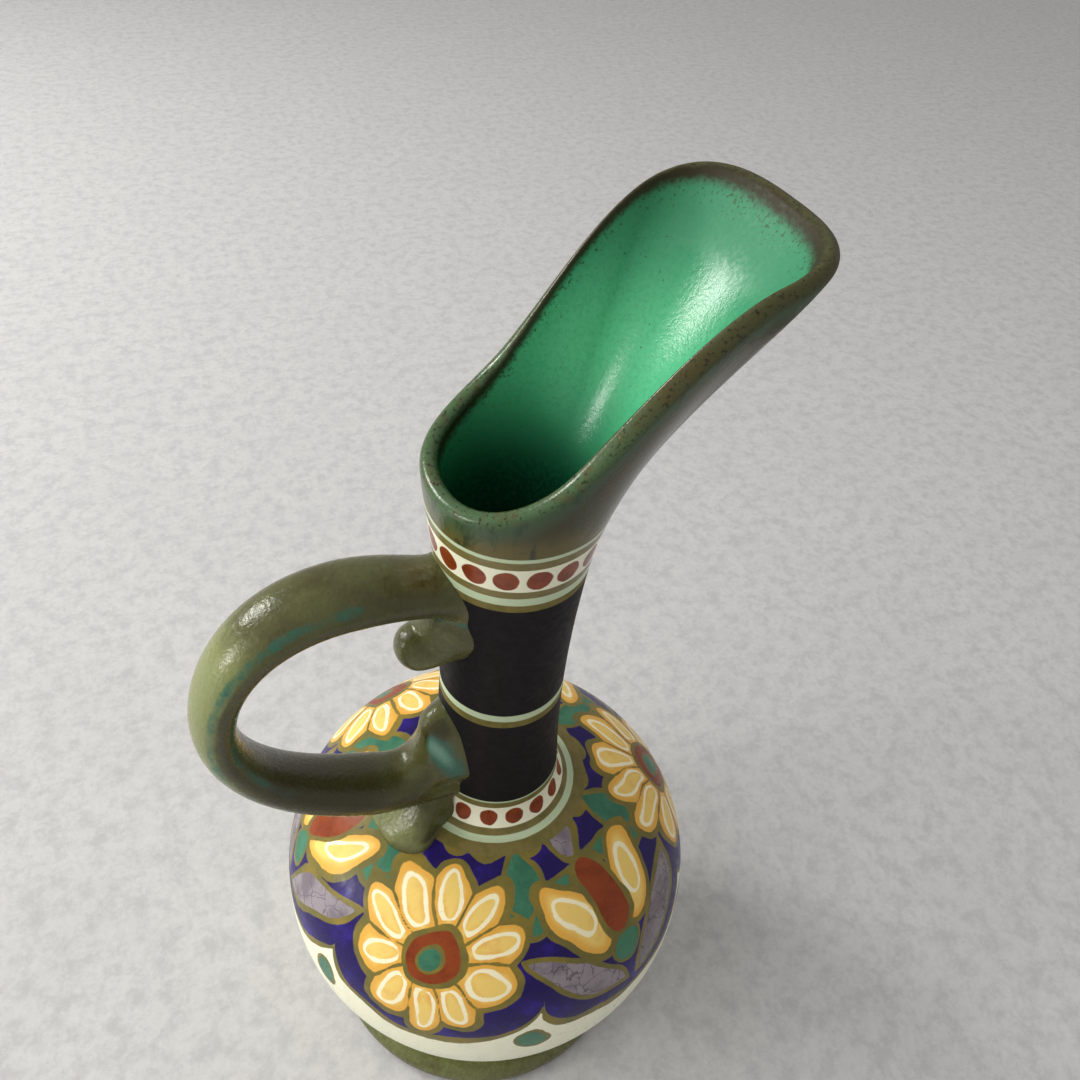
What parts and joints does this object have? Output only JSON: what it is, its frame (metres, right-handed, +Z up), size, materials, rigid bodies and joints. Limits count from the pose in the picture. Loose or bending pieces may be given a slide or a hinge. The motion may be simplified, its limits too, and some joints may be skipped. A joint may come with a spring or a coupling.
{
  "type": "ceramic ewer",
  "caption": "Tall pottery ewer for pouring: round globe on a spreading foot, slim waisted neck, open scoop spout and a loop handle with a scroll, spur and tongue.",
  "frame": {"origin": "centre of the plane that the foot rests on", "axes": "+Z up along the axis of globe and neck, +X towards the spout's tip, the handle on the -X side turned 5 degrees towards -Y"},
  "size_m": [0.1475, 0.132, 0.2912],
  "materials": {
    "foot_glaze": "satin olive green",
    "belly_glaze": "satin cream",
    "shoulder_glaze": "satin painted indigo",
    "collar_glaze": "satin painted olive with rust dots",
    "neck_glaze": "matt brown-black",
    "spout_glaze": "satin green",
    "handle_glaze": "satin olive green"
  },
  "bodies": {
    "root": {"foot_ring": "foot_glaze", "belly": "belly_glaze", "shoulder": "shoulder_glaze", "neck_collar": "collar_glaze", "neck": "neck_glaze", "spout": "spout_glaze", "handle_loop": "handle_glaze", "upper_scroll": "handle_glaze", "lower_spur": "handle_glaze", "lower_tongue": "handle_glaze"}
  },
  "joints": []
}
